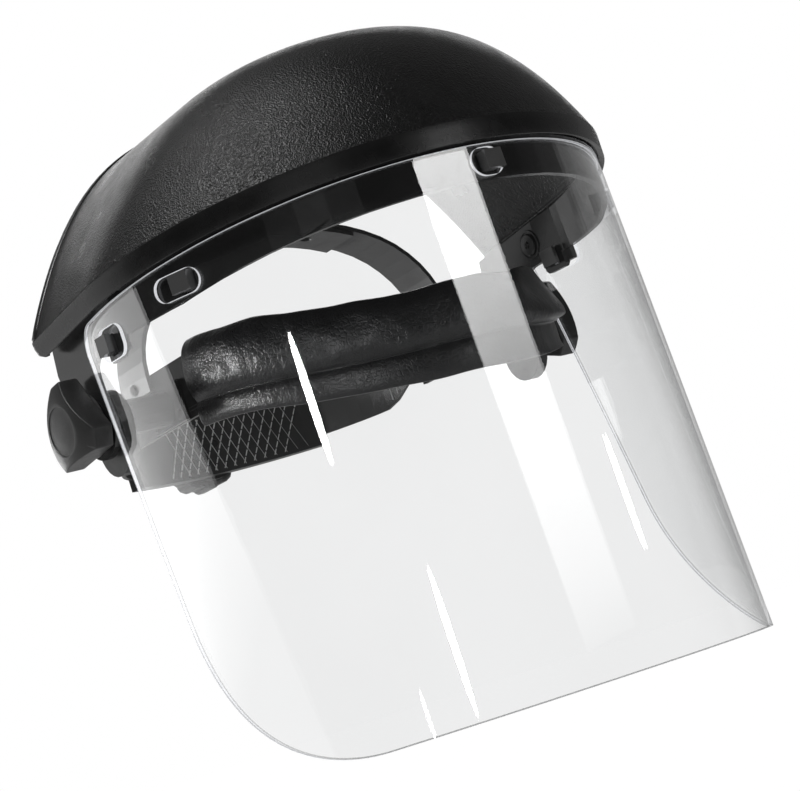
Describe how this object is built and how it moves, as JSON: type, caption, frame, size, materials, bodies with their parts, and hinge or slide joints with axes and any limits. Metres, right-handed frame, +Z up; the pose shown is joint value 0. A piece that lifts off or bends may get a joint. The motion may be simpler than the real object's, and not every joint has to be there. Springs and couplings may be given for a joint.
{
  "type": "face shield",
  "caption": "Flip-up face shield: clear bent visor hooked to a domed brow guard, tilting on two side knobs on a padded head harness with a nape ratchet.",
  "frame": {"origin": "midpoint between the two side pivots, where the wearer's head is", "axes": "+Z up, -Y the way the wearer looks, +X towards the wearer's left; the pivot axis lies along X"},
  "size_m": [0.25, 0.2801, 0.27],
  "materials": {
    "brow_black": "fine grained moulded nylon, smooth satin rim",
    "harness_black": "satin moulded nylon",
    "strap_black": "satin moulded polyethylene strap",
    "visor_clear": "clear gloss polycarbonate sheet",
    "sweat_leather": "black leatherette, semi gloss",
    "zinc_steel": "zinc plated",
    "insert_brass": "plain",
    "washer_rubber": "matt"
  },
  "bodies": {
    "headband": {"bracket_rivet_front_left": "zinc_steel", "bracket_rivet_front_right": "zinc_steel", "bracket_rivet_rear_left": "zinc_steel", "bracket_rivet_rear_right": "zinc_steel", "crown_rivet_left": "zinc_steel", "crown_rivet_right": "zinc_steel", "crown_strap_left": "strap_black", "crown_strap_right": "strap_black", "crown_stud_left": "harness_black", "crown_stud_right": "harness_black", "friction_washer_left": "washer_rubber", "friction_washer_right": "washer_rubber", "front_band": "harness_black", "outer_washer_left": "zinc_steel", "outer_washer_right": "zinc_steel", "pivot_bracket_left": "harness_black", "pivot_bracket_right": "harness_black", "pivot_stud_left": "zinc_steel", "pivot_stud_right": "zinc_steel", "sweatband": "sweat_leather"},
    "shield": {"brow_guard": "brow_black", "hook_centre": "harness_black", "hook_front_left": "harness_black", "hook_front_right": "harness_black", "hook_side_left": "harness_black", "hook_side_right": "harness_black", "visor": "visor_clear", "visor_carrier": "harness_black"},
    "knob_left": {"knob_insert_left": "insert_brass", "side_knob_left": "harness_black"},
    "knob_right": {"knob_insert_right": "insert_brass", "side_knob_right": "harness_black"},
    "nape_unit": {"detent_ring": "harness_black", "nape_cover": "harness_black", "nape_plate": "harness_black", "nape_screw_left": "zinc_steel", "nape_screw_right": "zinc_steel", "rear_strap_left": "strap_black", "rear_strap_right": "strap_black"},
    "ratchet": {"click_spring": "zinc_steel", "pinion": "harness_black", "ratchet_knob": "harness_black", "ratchet_screw": "zinc_steel"},
    "rack_left": {"rack_left": "strap_black"},
    "rack_right": {"rack_right": "strap_black"}
  },
  "joints": [
    {"name": "shield_tilt", "type": "hinge", "parent": "headband", "child": "shield", "pos_m": [0, 0, 0], "axis": [-1, 0, 0], "range_deg": [0, 65]},
    {"name": "side_knob_left_turn", "type": "hinge", "parent": "headband", "child": "knob_left", "pos_m": [0.118, 0, 0], "axis": [1, 0, 0], "range_deg": [-20, 270]},
    {"name": "side_knob_right_turn", "type": "hinge", "parent": "headband", "child": "knob_right", "pos_m": [-0.118, 0, 0], "axis": [-1, 0, 0], "range_deg": [-20, 270]},
    {"name": "nape_slide", "type": "slide", "parent": "headband", "child": "nape_unit", "axis": [0, 1, 0], "range_m": [-0.022, 0.005]},
    {"name": "ratchet_turn", "type": "hinge", "parent": "nape_unit", "child": "ratchet", "pos_m": [0, 0.12, -0.003], "axis": [0, 1, 0], "range_deg": [-285, 70]},
    {"name": "rack_left_feed", "type": "hinge", "parent": "nape_unit", "child": "rack_left", "pos_m": [0, 0.01, -0.003], "axis": [0, 0, 1], "range_deg": [-4, 14]},
    {"name": "rack_right_feed", "type": "hinge", "parent": "nape_unit", "child": "rack_right", "pos_m": [0, 0.01, -0.003], "axis": [0, 0, 1], "range_deg": [-14, 4]}
  ],
  "couplings": [
    {"joint": "ratchet_turn", "follows": "nape_slide", "rad_per_m": 222.22},
    {"joint": "rack_left_feed", "follows": "nape_slide", "rad_per_m": -10.395},
    {"joint": "rack_right_feed", "follows": "nape_slide", "rad_per_m": 10.395}
  ]
}
